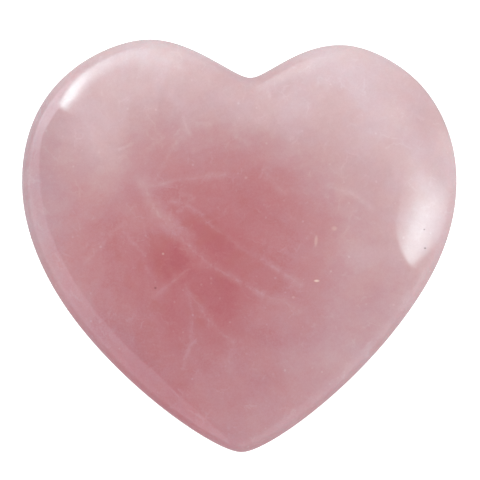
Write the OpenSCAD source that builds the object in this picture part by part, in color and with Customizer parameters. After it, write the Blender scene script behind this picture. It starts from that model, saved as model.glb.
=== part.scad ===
// Heart-shaped gua sha scraper: one stone, ground and polished from a single slab.
// Millimetres. The stone lies flat: +Z is up, the tip points to -Y, the lobes to +Y.
// The origin is under the middle of the outline, on the face that the stone lies on.

/* [Outline] */
// Width of the heart, from side to side
heart_w = 80; // [60:1:110]
// Height of the heart, from the tip to the top of the taller lobe
heart_h = 76; // [57:1:105]
// Depth of the notch between the lobes, below the taller lobe
notch_depth = 7.1; // [4:0.1:12]
// How far the other lobe stays below the taller one
lobe_drop = 1; // [0:0.1:3]
// Bluntness of the tip, as the reach of its round
tip_round = 4.2; // [3:0.1:8]
// Bluntness of the bottom of the notch, as the reach of its round
notch_round = 2.8; // [2:0.1:4]

/* [Thickness] */
// Thickness at the flat middle
stone_t = 8; // [5:0.5:12]
// How far each face falls from the flat middle out to the edge
crown_fall = 0.35; // [0.1:0.05:0.8]
// Size of the truly flat land in the middle of each face, as a share of the outline
land = 0.38; // [0.25:0.01:0.5]

/* [Edges] */
// Width of the rounded edge on the blunt side, which the hand holds
grip_edge = 5.5; // [3:0.5:7]
// Width of the rounded edge on the thin side, which scrapes
scrape_edge = 11; // [6:0.5:13]
// Width of the rounded edge inside the notch, which follows the jaw
notch_edge = 5; // [3:0.5:7]
// Width of the rounded edge at the tip
tip_edge = 6.5; // [4:0.5:8]
// Fullness of the edge's section: 2 is a true ellipse, and more is squarer
fullness = 2.15; // [2:0.05:3]

/* [Detail] */
// Length of one facet along the outline
facet = 1.9; // [1.6:0.1:4]

/* [Hidden] */

// Share of the drawn outline's size, which is 80 by 76
kx = heart_w / 80;
ky = heart_h / 76;
top = heart_h / 2;
mid_t = stone_t / 2;
centre = [0, 2 * ky];

// The outline's turning points, anticlockwise from the notch. Each has its place, the
// direction the outline runs in there, how far its curve reaches back and forward, and the
// width of the rounded edge. Places and reaches are those of the 80 by 76 heart.
TURN = [
    //  x      y                              way    back         on           edge
    [  2.0,   (top - notch_depth) / ky,       180,   notch_round, notch_round, notch_edge ],  // notch
    [-16.5,   38.0,                           180,   8.0,         4.6,         grip_edge  ],  // taller lobe
    [-30.5,   32.6,                           218,   4.8,         8.0,         grip_edge  ],  // its shoulder
    [-40.0,   11.8,                           270,   8.8,         9.5,         grip_edge  ],  // blunt side
    [-29.6,  -14.5,                           308,   9.5,         17,          grip_edge  ],  // blunt flank
    [  0.4,  -38.0,                           0,     tip_round,   tip_round,   tip_edge   ],  // tip
    [ 29.4,  -14.5,                           52.5,  17,          11,          (tip_edge + scrape_edge) / 2 ], // thin flank
    [ 40.0,   12.0,                           90,    9.5,         7.4,         scrape_edge ], // thin side
    [ 33.4,   29.7,                           132.5, 5.6,         5.0,         (grip_edge + scrape_edge) / 2 ], // its shoulder
    [ 18.6,   (top - lobe_drop) / ky,         180,   5.2,         8.0,         (2 * grip_edge + scrape_edge) / 3 ] // other lobe
];

function place(a) = [kx * a[0], ky * a[1]];
function reach(a, by) = [kx * by * cos(a[2]), ky * by * sin(a[2])];

// A point of the cubic curve from turning point a to b, and the way the curve runs there
function curve(a, b, t) =
    let (p = place(a), q = p + reach(a, a[4]), s = place(b), r = s - reach(b, b[3]))
    pow(1 - t, 3) * p + 3 * pow(1 - t, 2) * t * q + 3 * (1 - t) * t * t * r + pow(t, 3) * s;
function heading(a, b, t) =
    let (p = place(a), q = p + reach(a, a[4]), s = place(b), r = s - reach(b, b[3]),
         v = pow(1 - t, 2) * (q - p) + 2 * (1 - t) * t * (r - q) + t * t * (s - r))
    v / norm(v);
function ease(t) = t * t * (3 - 2 * t);

// Stations around the outline: its point, how squarely the line from the centre meets it,
// and the edge's width there
STATION = [
    for (i = [0 : len(TURN) - 1])
        let (a = TURN[i], b = TURN[(i + 1) % len(TURN)],
             steps = ceil(norm(place(b) - place(a)) / facet))
        for (k = [0 : steps - 1])
            let (t = k / steps, o = curve(a, b, t), v = heading(a, b, t), c = o - centre)
            [o, abs(c.x * v.y - c.y * v.x) / norm(c), a[5] + (b[5] - a[5]) * ease(t)]
];
N = len(STATION);

// How far out along the line from the centre a point lies that is u edge widths inside
function share(st, u) = 1 - u * st[2] / (norm(st[0] - centre) * st[1]);
// Height of the section above the mid-plane, u edge widths inside the outline
function roll(u) = pow(1 - pow(1 - min(u, 1), fullness), 1 / 2);
// Fall of the face, outside its flat land
function fall(t) = t <= land ? 0 : crown_fall * pow((t - land) / (1 - land), 2);

// Rings of the upper half, from the flat land out to the last one before the rim: first
// those across the face, then those down the rounded edge
FACE_RINGS = [0, 0.34, 0.67];
EDGE_RINGS = [1, 0.8, 0.62, 0.46, 0.32, 0.2, 0.11, 0.045, 0.01];
function face_share(st, f) = land + (share(st, 1) - land) * f;
function spot(st, t, u) =
    let (xy = centre + (st[0] - centre) * t)
    [xy.x, xy.y, (mid_t - fall(t)) * roll(u)];

HALF = concat(
    [for (f = FACE_RINGS) [for (st = STATION) spot(st, face_share(st, f), 1)]],
    [for (u = EDGE_RINGS) [for (st = STATION) spot(st, share(st, u), u)]]
);
RIM = [for (st = STATION) [st[0].x, st[0].y, 0]];
RINGS = concat(
    HALF,
    [RIM],
    [for (i = [len(HALF) - 1 : -1 : 0]) [for (p = HALF[i]) [p.x, p.y, -p.z]]]
);
M = len(RINGS);

module skin() {
    points = [for (ring = RINGS) for (p = ring) p];
    faces = concat(
        [for (k = [1 : N - 2]) [0, k + 1, k]],
        [for (i = [0 : M - 2]) for (k = [0 : N - 1])
            let (n = (k + 1) % N) [i * N + k, i * N + n, (i + 1) * N + n]],
        [for (i = [0 : M - 2]) for (k = [0 : N - 1])
            let (n = (k + 1) % N) [i * N + k, (i + 1) * N + n, (i + 1) * N + k]],
        [for (k = [1 : N - 2]) [(M - 1) * N, (M - 1) * N + k, (M - 1) * N + k + 1]]
    );
    polyhedron(points, faces, convexity = 6);
}

// The stone, cut out of a slab of rough that is a little larger all round
module heart_stone() {
    color([0.80, 0.60, 0.64])
        translate([0, 0, mid_t])
            intersection() {
                cube([heart_w + 8, heart_h + 8, stone_t + 4], center = true);
                skin();
            }
}

heart_stone();
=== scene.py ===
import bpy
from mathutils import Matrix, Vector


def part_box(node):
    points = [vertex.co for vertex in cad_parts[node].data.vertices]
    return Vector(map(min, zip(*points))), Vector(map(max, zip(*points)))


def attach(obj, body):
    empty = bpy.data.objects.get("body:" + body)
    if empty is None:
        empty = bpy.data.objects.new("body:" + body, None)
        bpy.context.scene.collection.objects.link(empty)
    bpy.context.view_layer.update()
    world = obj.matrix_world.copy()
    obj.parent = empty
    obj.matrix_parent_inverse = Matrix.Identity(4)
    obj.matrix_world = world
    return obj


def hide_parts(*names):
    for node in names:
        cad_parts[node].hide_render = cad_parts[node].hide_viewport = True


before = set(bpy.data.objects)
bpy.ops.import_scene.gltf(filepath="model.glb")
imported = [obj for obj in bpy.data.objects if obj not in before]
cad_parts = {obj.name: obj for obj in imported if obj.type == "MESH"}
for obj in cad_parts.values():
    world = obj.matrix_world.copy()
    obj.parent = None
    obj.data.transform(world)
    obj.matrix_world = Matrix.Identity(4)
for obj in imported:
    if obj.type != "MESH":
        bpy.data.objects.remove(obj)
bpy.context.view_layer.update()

import math

import bpy
import numpy as np
from mathutils import Vector

MM = 0.001
lo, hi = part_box("heart_stone")
WIDE, HIGH, THICK = ((hi - lo) / MM)[:]

# ------------------------------------------------------------------ the stone's shape
# The same turning points as the CAD part, in millimetres: x, y, way, reach back, reach on,
# and the width of the rounded edge.
GRIP, THIN, NOTCH, TIP = 5.5, 11.0, 5.0, 6.5
TURN = [
    (2.0, 30.9, 180, 2.8, 2.8, NOTCH),
    (-16.5, 38.0, 180, 8.0, 4.6, GRIP),
    (-30.5, 32.6, 218, 4.8, 8.0, GRIP),
    (-40.0, 11.8, 270, 8.8, 9.5, GRIP),
    (-29.6, -14.5, 308, 9.5, 17, GRIP),
    (0.4, -38.0, 0, 4.2, 4.2, TIP),
    (29.4, -14.5, 52.5, 17, 11, (TIP + THIN) / 2),
    (40.0, 12.0, 90, 9.5, 7.4, THIN),
    (33.4, 29.7, 132.5, 5.6, 5.0, (GRIP + THIN) / 2),
    (18.6, 37.0, 180, 5.2, 8.0, (2 * GRIP + THIN) / 3),
]
FULLNESS = 2.15
CROWN = 0.35
LAND = 0.38
MID = np.array([0.0, 2.0])


def outline(n):
    """n places evenly spaced along the outline, and the rounded edge's width at each."""
    xy, width = [], []
    for i, a in enumerate(TURN):
        b = TURN[(i + 1) % len(TURN)]
        p, s = np.array(a[:2]), np.array(b[:2])
        q = p + a[4] * np.array([math.cos(math.radians(a[2])), math.sin(math.radians(a[2]))])
        r = s - b[3] * np.array([math.cos(math.radians(b[2])), math.sin(math.radians(b[2]))])
        t = np.linspace(0, 1, 400, endpoint=False)[:, None]
        xy.append((1 - t) ** 3 * p + 3 * (1 - t) ** 2 * t * q + 3 * (1 - t) * t * t * r + t**3 * s)
        width.append(a[5] + (b[5] - a[5]) * (t * t * (3 - 2 * t))[:, 0])
    xy, width = np.vstack(xy), np.concatenate(width)
    # evenly spaced, then eased a little, as hand polishing does
    step = np.linalg.norm(np.roll(xy, -1, 0) - xy, axis=1)
    along = np.concatenate([[0], np.cumsum(step)])
    at = np.linspace(0, along[-1], n, endpoint=False)
    ring = np.vstack([xy, xy[:1]])
    got = np.stack([np.interp(at, along, ring[:, k]) for k in (0, 1)], 1)
    w = np.interp(at, along, np.append(width, width[0]))
    gap = along[-1] / n

    def ease(v, sigma):
        f = np.fft.rfft(v, axis=0)
        k = 2 * np.pi * np.arange(len(f)) / (n * gap)
        g = np.exp(-0.5 * (k * sigma) ** 2)
        return np.fft.irfft(f * (g[:, None] if v.ndim == 2 else g), n, axis=0)

    return ease(got, 0.55), ease(w, 3.0)


def stone_mesh(n=600, edge=22, face=15, flat=9):
    o, w = outline(n)
    run = np.roll(o, -1, 0) - np.roll(o, 1, 0)
    run /= np.linalg.norm(run, axis=1)[:, None]
    c = o - MID
    far = np.linalg.norm(c, axis=1)
    square = np.abs(c[:, 0] * run[:, 1] - c[:, 1] * run[:, 0]) / far
    first = 1 - w / (far * square)  # where the rounded edge begins, as a share of the outline

    shares, rolls = [], []
    for k in range(1, flat + 1):  # the flat land
        shares.append(np.full(n, LAND * (k / flat)))
        rolls.append(1.0)
    for k in range(1, face + 1):  # the crowned face
        f = k / face
        shares.append(LAND + (first - LAND) * (1 - (1 - f) ** 1.3))
        rolls.append(1.0)
    for k in range(edge - 1, -1, -1):  # down the rounded edge to the rim
        a = math.pi / 2 * k / edge
        u = 1 - math.cos(a) ** (2 / FULLNESS)
        shares.append(1 - u * w / (far * square))
        rolls.append(math.sin(a))
    rings = []
    for t, roll in zip(shares, rolls):
        xy = MID + c * t[:, None]
        fall = CROWN * (np.clip(t - LAND, 0, None) / (1 - LAND)) ** 2
        rings.append(np.column_stack([xy, (THICK / 2 - fall) * roll]))
    half = np.array(rings)  # ring, place, xyz
    # length along the surface from the middle, which the map is laid out by
    legs = np.linalg.norm(np.diff(np.concatenate([np.broadcast_to([MID[0], MID[1], THICK / 2], (1, n, 3)), half]), axis=0), axis=2)
    reach = np.cumsum(legs, 0)
    flatmap = MID + (c / far[:, None])[None] * reach[:, :, None]

    def wave(x, y, turn):
        s = np.zeros_like(x)
        for k, (lx, ly, ph) in enumerate([(31, 47, 0.4), (-23, 29, 2.1), (17, -21, 4.0), (13, 19, 5.2), (-11, 14, 1.3)]):
            s += np.sin(2 * np.pi * (x / lx + y / ly) + ph + turn * (k + 1)) * (1, 0.8, 0.5, 0.35, 0.25)[k]
        return s / 2.9

    verts, uvs = [], []
    for side in (1, -1):
        h = half.copy()
        h[:, :, 2] -= 0.022 * (1 + wave(h[:, :, 0], h[:, :, 1], 0.0 if side > 0 else 1.7)) * np.clip(np.array(rolls)[:, None] * 2 - 1, 0, 1) ** 2
        h[:, :, 2] = THICK / 2 + side * h[:, :, 2]
        verts.append(h)
    k = len(rolls)
    top = verts[0].reshape(-1, 3)
    under = verts[1][:-1].reshape(-1, 3)  # the rim is shared
    pole_top = np.array([[MID[0], MID[1], THICK - 0.022]])
    pole_under = np.array([[MID[0], MID[1], 0.022]])
    points = np.vstack([top, under, pole_top, pole_under])
    base_u = k * n
    i_top, i_under = len(points) - 2, len(points) - 1

    def idx_top(r, p):
        return r * n + p % n

    def idx_under(r, p):
        return (k - 1) * n + p % n if r == k - 1 else base_u + r * n + p % n

    faces, marks = [], []  # marks: for each corner (side, ring or -1, place)
    for p in range(n):
        faces.append((i_top, idx_top(0, p), idx_top(0, p + 1)))
        marks.append(((0, -1, p), (0, 0, p), (0, 0, p + 1)))
        faces.append((i_under, idx_under(0, p + 1), idx_under(0, p)))
        marks.append(((1, -1, p), (1, 0, p + 1), (1, 0, p)))
    for r in range(k - 1):
        for p in range(n):
            faces.append((idx_top(r, p), idx_top(r + 1, p), idx_top(r + 1, p + 1), idx_top(r, p + 1)))
            marks.append(((0, r, p), (0, r + 1, p), (0, r + 1, p + 1), (0, r, p + 1)))
            faces.append((idx_under(r, p), idx_under(r, p + 1), idx_under(r + 1, p + 1), idx_under(r + 1, p)))
            marks.append(((1, r, p), (1, r, p + 1), (1, r + 1, p + 1), (1, r + 1, p)))

    me = bpy.data.meshes.new("heart_stone_polished")
    me.from_pydata((points * MM).tolist(), [], faces)
    layer = me.uv_layers.new(name="OFBake")
    flat_marks = [m for f in marks for m in f]
    side = np.array([m[0] for m in flat_marks])
    ring = np.array([m[1] for m in flat_marks])
    place = np.array([m[2] for m in flat_marks]) % n
    at = np.where((ring < 0)[:, None], MID, flatmap[np.clip(ring, 0, None), place])
    span = flatmap[-1]
    low, size = span.min(0), np.ptp(span, axis=0)
    uv = (at - low) / size * [0.485, 0.98] + [0.008, 0.01]
    uv[:, 0] += side * 0.499
    layer.uv.foreach_set("vector", uv.astype(np.float32).ravel())
    for p in me.polygons:
        p.use_smooth = True
    me.update()
    return me


mesh = stone_mesh()
stone = bpy.data.objects.new("heart_stone_polished", mesh)
bpy.context.scene.collection.objects.link(stone)


# ------------------------------------------------------------------ nodes
class Graph:
    def __init__(self, tree):
        self.tree = tree

    def new(self, kind, **props):
        n = self.tree.nodes.new(kind)
        for k, v in props.items():
            setattr(n, k, v)
        return n

    def put(self, socket, value):
        if isinstance(value, bpy.types.NodeSocket):
            self.tree.links.new(value, socket)
        elif value is not None:
            socket.default_value = value

    def math(self, op, a, b=None, c=None, clamp=False):
        n = self.new("ShaderNodeMath", operation=op, use_clamp=clamp)
        for s, v in zip(n.inputs, (a, b, c)):
            self.put(s, v)
        return n.outputs[0]

    def vec(self, op, a, b=None, scale=None):
        n = self.new("ShaderNodeVectorMath", operation=op)
        self.put(n.inputs[0], a)
        if b is not None:
            self.put(n.inputs[1], b)
        if scale is not None:
            self.put(n.inputs["Scale"], scale)
        return n.outputs["Value"] if op in ("LENGTH", "DOT_PRODUCT", "DISTANCE") else n.outputs[0]

    def noise(self, at, scale, detail=3.0, rough=0.5, distort=0.0, colour=False):
        n = self.new("ShaderNodeTexNoise", noise_dimensions="3D")
        self.put(n.inputs["Vector"], at)
        n.inputs["Scale"].default_value = scale
        n.inputs["Detail"].default_value = detail
        n.inputs["Roughness"].default_value = rough
        n.inputs["Distortion"].default_value = distort
        return n.outputs["Color" if colour else "Fac"]

    def ramp(self, fac, low, high, to_low=0.0, to_high=1.0, smooth=True):
        n = self.new("ShaderNodeMapRange", clamp=True)
        n.interpolation_type = "SMOOTHSTEP" if smooth else "LINEAR"
        for k, v in zip(("Value", "From Min", "From Max", "To Min", "To Max"), (fac, low, high, to_low, to_high)):
            self.put(n.inputs[k], v)
        return n.outputs[0]

    def colours(self, fac, stops):
        n = self.new("ShaderNodeValToRGB")
        r = n.color_ramp
        r.interpolation = "LINEAR"
        while len(r.elements) < len(stops):
            r.elements.new(0.5)
        for e, (at, c) in zip(r.elements, stops):
            e.position = at
            e.color = (*c, 1)
        self.put(n.inputs[0], fac)
        return n.outputs[0]

    def mix(self, fac, a, b, kind="MIX"):
        n = self.new("ShaderNodeMix", data_type="RGBA", blend_type=kind, clamp_factor=True)
        self.put(n.inputs[0], fac)
        self.put(n.inputs[6], a if isinstance(a, bpy.types.NodeSocket) else (*a, 1))
        self.put(n.inputs[7], b if isinstance(b, bpy.types.NodeSocket) else (*b, 1))
        return n.outputs[2]


def linear(r, g, b):
    def one(v):
        v /= 255
        return v / 12.92 if v <= 0.04045 else ((v + 0.055) / 1.055) ** 2.4

    return one(r), one(g), one(b)


# Inner marks of this stone, in millimetres, seen from above at its upper face. They lean as
# they go down, because healed cracks and clouds are sheets in the crystal.
LEAN = (0.42, -0.30)
# clouds: middle, half length, half width, turn in degrees, how much milkier (or deeper) it is
CLOUDS = [
    (-26.0, 28.5, 9.0, 6.5, 30, -0.06),
    (-13.0, 35.0, 9.0, 4.5, -8, 0.10),
    (-18.0, 31.0, 8.0, 4.5, 20, 0.07),
    (-27.0, 19.5, 8.0, 4.0, -50, 0.05),
    (-24.5, 18.0, 11.0, 4.5, 82, 0.09),
    (-22.0, 12.5, 6.5, 4.5, -30, 0.05),
    (-19.5, 5.5, 4.5, 3.0, -40, 0.09),
    (-13.0, 4.6, 6.0, 2.4, -48, 0.10),
    (4.0, 25.5, 12.0, 4.0, 4, 0.07),
    (8.0, 23.0, 5.0, 3.5, 0, 0.05),
    (21.0, 31.0, 12.0, 6.0, -20, 0.05),
    (30.0, 29.5, 13.0, 6.5, -49, -0.17),
    (26.5, -9.0, 11.0, 5.5, 62, -0.11),
    (27.0, 8.0, 12.0, 6.0, 80, -0.09),
    (-35.5, 18.5, 13.0, 5.0, 80, -0.15),
    (-16.0, -26.0, 18.0, 5.5, -42, -0.07),
    (-5.6, 2.3, 6.8, 2.5, -36, -0.06),
    (-13.0, -3.4, 4.6, 3.6, -20, -0.10),
    (-3.2, -8.8, 6.2, 3.8, -20, -0.06),
    (-11.6, -15.0, 7.4, 2.9, -78, -0.05),
    (3.5, 11.5, 9.0, 4.6, -50, -0.06),
    (5.5, 0.5, 4.5, 4.5, 0, 0.05),
    (6.0, -12.0, 6.0, 4.0, 0, 0.10),
    (20.0, -0.5, 6.0, 4.0, 0, 0.07),
    (-8.5, -18.0, 5.0, 3.5, 0, 0.05),
    (11.5, -19.0, 5.0, 4.0, 0, 0.06),
    (0.0, -21.0, 9.0, 4.0, 10, 0.06),
    (-13.0, 23.5, 3.4, 3.0, 0, -0.05),
    (7.0, 31.0, 4.5, 3.5, 30, -0.06),
]
# veins: points along each, half width, strength
VEINS = [
    ([(-17.6, 11.4), (-14.6, 5.6), (-10.4, 1.4), (-6.4, -2.5)], 1.5, 0.16),
    ([(-12.4, 2.9), (-8.6, -0.4), (-5.9, -3.0), (-2.6, -5.0), (0.6, -6.6), (4.4, -8.8)], 0.75, 0.18),
    ([(-12.4, 8.2), (-9.2, 7.3), (-5.0, 3.7), (0.0, 0.0), (5.4, -3.2), (11.0, -6.9)], 0.65, 0.13),
    ([(-11.0, 6.4), (-8.2, 8.6)], 0.5, 0.12),
    ([(-17.2, 10.8), (-11.0, 11.9), (-2.7, 13.0)], 0.7, 0.11),
    ([(-16.0, 10.5), (-13.6, 15.0), (-11.2, 19.6)], 0.6, 0.07),
    ([(4.6, 13.6), (5.9, 11.8), (7.8, 9.9)], 0.9, 0.10),
    ([(-8.6, -3.6), (-11.2, -5.6), (-15.0, -8.8)], 0.8, 0.15),
    ([(-9.6, -7.2), (-8.6, -11.9), (-8.7, -17.6), (-10.4, -22.0)], 0.5, 0.10),
    ([(-9.1, -8.5), (-5.0, -14.0), (-1.2, -17.4)], 0.7, 0.13),
    ([(-2.2, -16.2), (-1.6, -18.8), (-2.0, -21.4)], 1.2, 0.09),
    ([(16.4, 10.6), (20.4, 9.6), (23.8, 7.0)], 0.7, 0.10),
    ([(4.0, -8.6), (8.8, -10.4), (13.0, -13.4)], 0.9, 0.07),
    ([(-28.0, -3.0), (-22.8, 2.6), (-20.6, 4.4)], 0.6, 0.07),
    ([(-10.1, 23.3), (-9.1, 20.1)], 0.4, 0.09),
    ([(-19.4, 18.6), (-21.8, 17.4)], 0.3, 0.12),
    ([(-21.0, 2.6), (-17.5, -1.0), (-16.6, -5.0)], 0.5, 0.07),
]
# specks: place, half length, half width, turn, strength; a negative one is a dark spot in the surface, and the two on
# the right lobe are pits in the polish painted dark, as painted shade
SPECKS = [
    (14.0, -6.3, 0.45, 0.20, 0, 0.65),
    (13.9, 0.9, 0.95, 0.28, 84, 0.22),
    (17.2, 3.2, 0.50, 0.40, 0, 0.18),
    (-13.8, -1.4, 0.22, 0.20, 0, 0.28),
    (9.8, -9.3, 0.30, 0.22, 0, 0.16),
    (1.2, 12.4, 0.30, 0.25, 0, 0.14),
    (-15.2, -7.6, 0.20, 0.18, 0, -0.60),
    # two pits in the polish, painted as dark spots: painted shade where they break the mirrored light
    (33.6, 3.0, 0.16, 0.14, 0, -0.55),
    (33.8, -0.4, 0.22, 0.16, 0, -0.65),
]
LIGHT = 0.85  # how much of a white thing's brightness the light gives
MIRROR = 0.042  # what the polish adds by mirroring the white room


def rose_quartz():
    mat = bpy.data.materials.new("rose_quartz")
    mat.use_nodes = True
    tree = mat.node_tree
    tree.nodes.clear()
    g = Graph(tree)
    out = g.new("ShaderNodeOutputMaterial")
    shader = g.new("ShaderNodeBsdfPrincipled")
    tree.links.new(shader.outputs[0], out.inputs[0])

    def tint(r, gr, b):
        """The stone's own colour, from how it looks polished and lit."""
        return tuple(max(0.0, (v - MIRROR) / LIGHT) for v in linear(r, gr, b))

    where = g.new("ShaderNodeTexCoord").outputs["Object"]
    p = g.vec("SCALE", where, scale=1 / MM)  # millimetres
    deep = g.new("ShaderNodeSeparateXYZ")
    g.put(deep.inputs[0], p)
    down = g.math("SUBTRACT", deep.outputs[2], THICK)  # 0 at the upper face
    lean = g.new("ShaderNodeCombineXYZ")
    g.put(lean.inputs[0], g.math("MULTIPLY", down, LEAN[0]))
    g.put(lean.inputs[1], g.math("MULTIPLY", down, LEAN[1]))
    flat = (1, 1, 0)
    sheet = g.vec("MULTIPLY", g.vec("ADD", p, lean.outputs[0]), flat)

    # clouds bend and tear a little, so the fields below are read at a shifted place
    def shifted(at, noise, by):
        return g.vec("ADD", at, g.vec("MULTIPLY", g.vec("SUBTRACT", noise, (0.5, 0.5, 0.5)), (by, by, 0)))

    sway = g.noise(p, 0.085, 2.0, 0.5, colour=True)
    tear = g.noise(p, 0.42, 4.0, 0.62, colour=True)
    bent = shifted(sheet, sway, 4.0)
    q = shifted(bent, tear, 4.2)
    fine = shifted(shifted(sheet, tear, 0.9), g.noise(p, 1.7, 2.0, 0.6, colour=True), 0.35)

    xyz = g.new("ShaderNodeSeparateXYZ")
    g.put(xyz.inputs[0], q)
    # the deep rose heart of the crystal
    dx = g.math("ADD", xyz.outputs[0], 5.0)
    dy = g.math("ADD", xyz.outputs[1], 2.0)
    ex = g.math("ADD", g.math("DIVIDE", g.math("MAXIMUM", dx, 0.0), 22.0), g.math("DIVIDE", g.math("MINIMUM", dx, 0.0), 27.0))
    ey = g.math("ADD", g.math("DIVIDE", g.math("MAXIMUM", dy, 0.0), 20.0), g.math("DIVIDE", g.math("MINIMUM", dy, 0.0), 33.0))
    far = g.math("SQRT", g.math("ADD", g.math("MULTIPLY", ex, ex), g.math("MULTIPLY", ey, ey)))
    curve = g.new("ShaderNodeFloatCurve")
    line_ = curve.mapping.curves[0]
    line_.points[0].location = (0, 0.08)
    line_.points[1].location = (1, 0.90)
    for x, y in [(0.25, 0.21), (0.5, 0.42), (0.75, 0.70), (0.92, 0.84)]:
        line_.points.new(x, y)
    curve.mapping.update()
    g.put(curve.inputs["Value"], g.math("MULTIPLY", far, 0.5))
    milk = curve.outputs[0]

    def spot(at, x, y, long, wide, turn):
        """Distance from an oval's middle, 1 at its edge."""
        c, s = math.cos(math.radians(turn)), math.sin(math.radians(turn))
        off = g.vec("SUBTRACT", at, (x, y, 0))
        u = g.vec("DOT_PRODUCT", off, (c / long, s / long, 0))
        v = g.vec("DOT_PRODUCT", off, (-s / wide, c / wide, 0))
        return g.math("SQRT", g.math("MULTIPLY_ADD", u, u, g.math("MULTIPLY", v, v)))

    for x, y, long, wide, turn, much in CLOUDS:
        milk = g.math("ADD", milk, g.ramp(spot(q, x, y, long, wide, turn), 1.35, 0.25, 0.0, much))

    # painted shade: on the rounded edge the colour is made deeper (less milk), chiefly at the tapered right side and
    # at the lower left, to hold down the brighter glow the light gives through the edge
    p_flat = g.vec("MULTIPLY", p, flat)
    height = g.math("ABSOLUTE", g.math("SUBTRACT", deep.outputs[2], THICK / 2))
    rim_shade = g.ramp(height, THICK * 0.485, THICK * 0.40)
    rim_shade_amount = g.math("MAXIMUM", g.ramp(spot(p_flat, 40, 8, 26, 16, 90), 1.1, 0.6, 0.02, 0.08), g.ramp(spot(p_flat, -18, -28, 27, 11, -42), 1.2, 0.8, 0.0, 0.05))
    milk = g.math("SUBTRACT", milk, g.math("MULTIPLY", rim_shade, rim_shade_amount))

    # milk in fibres that fan out from one place at the left, and in grains
    off = g.vec("SUBTRACT", shifted(sheet, tear, 2.2), (-19.0, 13.0, 0))
    o = g.new("ShaderNodeSeparateXYZ")
    g.put(o.inputs[0], off)
    fan = g.new("ShaderNodeCombineXYZ")
    g.put(fan.inputs[0], g.math("MULTIPLY", g.math("ARCTAN2", o.outputs[1], o.outputs[0]), 5.5))
    g.put(fan.inputs[1], g.math("MULTIPLY", g.vec("LENGTH", off), 0.06))
    g.put(fan.inputs[2], g.math("MULTIPLY", deep.outputs[2], 0.05))
    fibre = g.math("SUBTRACT", g.noise(fan.outputs[0], 1.6, 4.0, 0.62), 0.5)
    fibre = g.math("MULTIPLY", fibre, g.ramp(g.vec("LENGTH", off), 2.0, 14.0))
    cloud = g.math("SUBTRACT", g.noise(q, 0.13, 4.0, 0.55), 0.5)
    grain = g.math("SUBTRACT", g.noise(p, 0.75, 3.0, 0.65), 0.5)
    dust = g.math("SUBTRACT", g.noise(p, 2.6, 2.0, 0.6), 0.5)
    silt = g.math("SUBTRACT", g.noise(p, 6.5, 2.0, 0.6), 0.5)
    milk = g.math("MULTIPLY_ADD", fibre, 0.15, milk)
    milk = g.math("MULTIPLY_ADD", cloud, 0.17, milk)
    milk = g.math("MULTIPLY_ADD", grain, 0.085, milk)
    milk = g.math("MULTIPLY_ADD", dust, 0.12, milk)
    milk = g.math("MULTIPLY_ADD", silt, 0.12, milk)

    # hair cracks, which show only here and there, and sparse pale points
    hair = g.new("ShaderNodeTexVoronoi", feature="DISTANCE_TO_EDGE")
    g.put(hair.inputs["Vector"], shifted(p, tear, 3.0))
    hair.inputs["Scale"].default_value = 0.27
    seen = g.ramp(g.noise(p, 0.33, 3.0, 0.6), 0.50, 0.66)
    milk = g.math("MULTIPLY_ADD", g.ramp(hair.outputs["Distance"], 0.06, 0.005, 0.0, 0.07), seen, milk)
    point = g.new("ShaderNodeTexVoronoi")
    g.put(point.inputs["Vector"], p)
    point.inputs["Scale"].default_value = 0.6
    pick = g.new("ShaderNodeSeparateXYZ")
    g.put(pick.inputs[0], point.outputs["Color"])
    pick = g.ramp(pick.outputs[0], 0.62, 1.0, 0.0, 0.16)
    milk = g.math("MULTIPLY_ADD", g.ramp(point.outputs["Distance"], 0.19, 0.06), pick, milk)

    # veins: healed cracks, which hold white threads
    thread = g.ramp(g.noise(p, 0.5, 3.0, 0.6), 0.28, 0.62, 0.25, 1.0)
    strand = g.ramp(g.noise(p, 0.9, 2.0, 0.5), 0.42, 0.60)
    veins = None
    for points, wide, much in VEINS:
        near = None
        for a, b in zip(points, points[1:]):
            ba = (b[0] - a[0], b[1] - a[1], 0)
            size2 = ba[0] ** 2 + ba[1] ** 2
            pa = g.vec("SUBTRACT", fine, (*a, 0))
            h = g.math("ADD", g.vec("DOT_PRODUCT", pa, tuple(v / size2 for v in ba)), 0.0, clamp=True)
            d = g.vec("DISTANCE", pa, g.vec("SCALE", ba, scale=h))
            near = d if near is None else g.math("MINIMUM", near, d)
        v = g.math("MULTIPLY", g.ramp(near, wide * 1.8, 0.0, 0.0, much * 0.72), thread)
        v = g.math("MULTIPLY_ADD", g.ramp(near, 0.36, 0.08, 0.0, much * 0.42), strand, v)
        veins = v if veins is None else g.math("MAXIMUM", veins, v)
    milk = g.math("ADD", veins, milk)
    milk = g.math("ADD", milk, 0.0, clamp=True)
    body = g.colours(
        milk,
        [
            (0.0, tint(181, 106, 113)),
            (0.10, tint(187, 119, 125)),
            (0.25, tint(191, 133, 138)),
            (0.40, tint(196, 149, 153)),
            (0.60, tint(203, 169, 172)),
            (0.80, tint(214, 188, 191)),
            (1.0, tint(225, 207, 210)),
        ],
    )

    # a warmer tone in the deepest parts, and a cooler one near the left side, tip and lower right
    warm = g.math("MULTIPLY", g.ramp(g.noise(bent, 0.16, 2.0, 0.5), 0.46, 0.64), g.ramp(milk, 0.34, 0.10, 0.0, 0.5))
    body = g.mix(warm, body, tint(186, 116, 114))
    mauve = g.math("MAXIMUM", g.ramp(spot(q, -40, 6, 34, 9, 90), 1.3, 0.4), g.ramp(spot(q, 0, -38, 14, 10, 0), 1.4, 0.3))
    mauve = g.math("MAXIMUM", mauve, g.ramp(spot(q, -22, -24, 24, 10, -45), 1.2, 0.5))
    mauve = g.math("MAXIMUM", mauve, g.ramp(xyz.outputs[1], 2.0, -20.0, 0.0, 0.55))
    body = g.mix(mauve, body, g.mix(1.0, body, (0.93, 0.99, 1.03), "MULTIPLY"))

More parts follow.
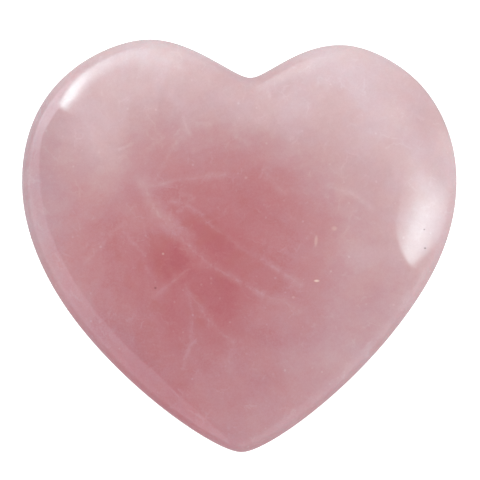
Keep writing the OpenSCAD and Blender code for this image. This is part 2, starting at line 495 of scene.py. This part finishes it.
    # a little drift in hue, from brownish to lilac
    drift = g.ramp(g.noise(bent, 0.15, 3.0, 0.55), 0.36, 0.64)
    tones = g.mix(drift, (1.006, 0.996, 0.982), (0.992, 1.002, 1.020))
    body = g.mix(1.0, body, tones, "MULTIPLY")

    # single bright flecks and dark spots; two dark ones are painted shade of pits in the polish
    for x, y, long, wide, turn, much in SPECKS:
        # the pale flecks are inside, and the dark spots sit in the surface
        fleck_or_pit_shade = g.ramp(spot(sheet if much > 0 else p_flat, x, y, long, wide, turn), 1.5, 0.4, 0.0, abs(much))
        body = g.mix(fleck_or_pit_shade, body, tint(240, 226, 214) if much > 0 else tint(120, 72, 74))

    g.put(shader.inputs["Base Color"], body)
    shader.inputs["IOR"].default_value = 1.544
    shader.inputs["Roughness"].default_value = 0.04
    shader.inputs["Subsurface Weight"].default_value = 1.0
    shader.inputs["Subsurface Radius"].default_value = (1.0, 0.6, 0.65)
    shader.inputs["Subsurface Scale"].default_value = 0.0016
    return mat


stone.data.materials.append(rose_quartz())
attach(stone, "root")
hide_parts("heart_stone")

# ------------------------------------------------------------------ floor, lights, camera
scene = bpy.context.scene


def floor():
    """A plain white sweep: a level floor that turns up into a low wall all round. Only the
    camera sees it, so it stays white and throws no colour on the stone."""
    turn = [math.radians(90 * k / 12) for k in range(13)]
    side = [(0.3, 0.0), (0.7, 0.0)] + [(1.0 + 0.5 * math.sin(a), 0.5 - 0.5 * math.cos(a)) for a in turn] + [(1.5, 1.6)]
    n = 96
    points = [(0, 0, 0)]
    for r, z in side:
        points += [(r * math.cos(2 * math.pi * k / n), r * math.sin(2 * math.pi * k / n), z) for k in range(n)]
    faces = [(0, 1 + k, 1 + (k + 1) % n) for k in range(n)]
    for i in range(len(side) - 1):
        a, b = 1 + i * n, 1 + (i + 1) * n
        faces += [(a + k, b + k, b + (k + 1) % n, a + (k + 1) % n) for k in range(n)]
    me = bpy.data.meshes.new("floor")
    me.from_pydata(points, [], faces)
    for f in me.polygons:
        f.use_smooth = True
    ob = bpy.data.objects.new("floor", me)
    scene.collection.objects.link(ob)
    mat = bpy.data.materials.new("floor_white")
    mat.use_nodes = True
    b = mat.node_tree.nodes["Principled BSDF"]
    b.inputs["Base Color"].default_value = (0.9, 0.9, 0.9, 1)
    b.inputs["Roughness"].default_value = 0.6
    b.inputs["Specular IOR Level"].default_value = 0.0
    b.inputs["Emission Color"].default_value = (1, 1, 1, 1)
    b.inputs["Emission Strength"].default_value = 0.7
    me.materials.append(mat)
    ob.visible_diffuse = ob.visible_glossy = ob.visible_transmission = ob.visible_shadow = False
    return ob


floor()


def softbox(name, low, high, z, strength, colour, shape):
    """A level light over the floor, from corner low to corner high. shape(g, x, y) gives its
    brightness from 0 to 1 at each place on it, in metres, as the scrim of a real box does."""
    light = bpy.data.lights.new(name, "AREA")
    light.shape = "RECTANGLE"
    light.size, light.size_y = high[0] - low[0], high[1] - low[1]
    light.energy = strength * math.pi * light.size * light.size_y
    ob = bpy.data.objects.new(name, light)
    scene.collection.objects.link(ob)
    ob.location = ((low[0] + high[0]) / 2, (low[1] + high[1]) / 2, z)
    ob.visible_camera = False
    ob.visible_diffuse = False
    light.color = colour
    light.use_nodes = True
    tree = light.node_tree
    g = Graph(tree)
    place = g.new("ShaderNodeSeparateXYZ")
    g.put(place.inputs[0], g.new("ShaderNodeNewGeometry").outputs["Position"])
    g.put(tree.nodes["Emission"].inputs["Strength"], shape(g, place.outputs[0], place.outputs[1]))
    return ob


def line(g, x, y, slope, at, width):
    """Rises from 0 to 1 over width as a place passes the line y = slope x + at."""
    return g.ramp(g.math("SUBTRACT", y, g.math("MULTIPLY_ADD", x, slope, at)), -width / 2, width / 2)


def polar(g, x, y):
    """The way to a place over the left, in degrees from -x, and how far it is. The scale of
    the distance grows as the way swings round behind the stone."""
    turn = g.math("DEGREES", g.math("ARCTAN2", y, g.math("MULTIPLY", x, -1.0)))
    reach = g.math("SQRT", g.math("MULTIPLY_ADD", x, x, g.math("MULTIPLY", y, y)))
    return turn, g.math("DIVIDE", reach, g.ramp(turn, 38.0, 62.0, 1.0, 2.5, smooth=False))


def left_shape(g, x, y):
    """A window's light, brightest beside the stone and fading as it swings round behind it."""
    turn, reach = polar(g, x, y)
    s = g.math("MULTIPLY", g.ramp(turn, 34.5, 37.0), g.ramp(turn, 62.0, 43.0, 0.38, 1.0))
    s = g.math("MULTIPLY", s, g.ramp(turn, 78.0, 60.0, 0.40, 1.0))
    s = g.math("MULTIPLY", s, g.ramp(turn, 100.0, 72.0))
    near = g.math("SQRT", g.math("MULTIPLY_ADD", x, x, g.math("MULTIPLY", y, y)))
    s = g.math("MULTIPLY", s, g.ramp(near, 0.075, g.ramp(turn, 41.0, 54.0, 0.36, 0.56)))
    return g.math("MULTIPLY", s, g.ramp(reach, 0.72, 0.34))


def right_shape(g, x, y):
    """A second window, cut off sharply by a blind that runs across it."""
    s = line(g, x, y, -0.55, 0.065, 0.007)
    s = g.math("MULTIPLY", s, line(g, x, y, -0.21, -0.062, 0.08))
    s = g.math("MULTIPLY", s, g.ramp(y, 0.070, -0.035))
    s = g.math("MULTIPLY", s, g.ramp(x, 0.10, 0.28, 0.42, 1.0))
    s = g.math("MULTIPLY", s, g.math("MULTIPLY", g.ramp(x, 0.085, 0.13), g.ramp(x, 2.2, 0.5)))
    return g.math("MULTIPLY", s, g.math("MINIMUM", g.math("DIVIDE", 0.34, x), 1.0))


def left_card(g, x, y):
    """A big white card beside the stone. Its near corner is over the lower left, and the
    window's own box hides part of it."""
    far_part = g.math("MULTIPLY", line(g, x, y, 0.18, 0.29, 0.02), g.ramp(x, -0.30, -0.36))
    s = g.math("MAXIMUM", line(g, x, y, -1.0, -0.33, -0.012), far_part)
    near = g.math("MULTIPLY_ADD", g.math("ADD", y, 0.19), 0.28, -0.14)
    s = g.math("MULTIPLY", s, g.ramp(g.math("SUBTRACT", x, near), 0.006, -0.006))
    turn, reach = polar(g, x, y)
    s = g.math("MULTIPLY", s, g.math("MAXIMUM", g.ramp(turn, 37.0, 35.0), g.ramp(reach, 0.42, 0.78)))
    edge = g.ramp(g.math("SUBTRACT", g.math("ADD", x, y), -0.33), -0.09, -0.01, 0.0, 0.25)  # its bright rim
    full = g.math("MULTIPLY", g.ramp(turn, 8.0, 24.0, 1.0, 2.6), g.ramp(turn, 42.0, 35.0, 0.5, 1.0))
    return g.math("MULTIPLY", s, g.math("ADD", edge, full))


def low_card(g, x, y):
    s = g.math("MAXIMUM", g.ramp(x, 0.33, 0.42), g.ramp(y, -0.78, -0.90))
    return g.math("MULTIPLY", s, g.ramp(y, -0.35, -0.60))


DAY = (0.74, 1.0, 1.02)
softbox("left_box", (-1.0, 0.08), (0.1, 1.4), 0.5, 11.5, DAY, left_shape)
softbox("right_box", (0.05, -0.55), (2.2, 0.11), 0.5, 7.8, DAY, right_shape)
softbox("left_card", (-3.0, -3.0), (-0.1, 1.6), 0.505, 0.85, (0.95, 1.0, 1.15), left_card)
softbox("low_card", (-0.1, -3.0), (2.5, -0.3), 0.51, 0.55, (0.9, 1.0, 1.1), low_card)

# the white room: brightest overhead, dimmer below the stone
world = bpy.data.worlds.new("studio")
world.use_nodes = True
g = Graph(world.node_tree)
way = g.new("ShaderNodeSeparateXYZ")
g.put(way.inputs[0], g.new("ShaderNodeTexCoord").outputs["Generated"])
sky = g.ramp(way.outputs[2], -0.3, 0.15, 0.62, 0.90)
sky = g.math("ADD", sky, g.ramp(way.outputs[2], 0.15, 0.9, 0.0, 0.10))
g.put(world.node_tree.nodes["Background"].inputs[1], sky)
world.node_tree.nodes["Background"].inputs[0].default_value = (1, 1, 1, 1)
scene.world = world

cam = bpy.data.cameras.new("camera")
cam.lens = 100
cam.sensor_width = 36
cam.dof.use_dof = False
cam.clip_start, cam.clip_end = 0.01, 10
camera = bpy.data.objects.new("camera", cam)
scene.collection.objects.link(camera)
camera.location = (0.00013, 0.00109, 0.2455 + THICK / 2 * MM)
camera.rotation_euler = (0, 0, 0)
scene.camera = camera

scene.view_settings.view_transform = "Standard"
scene.view_settings.look = "None"
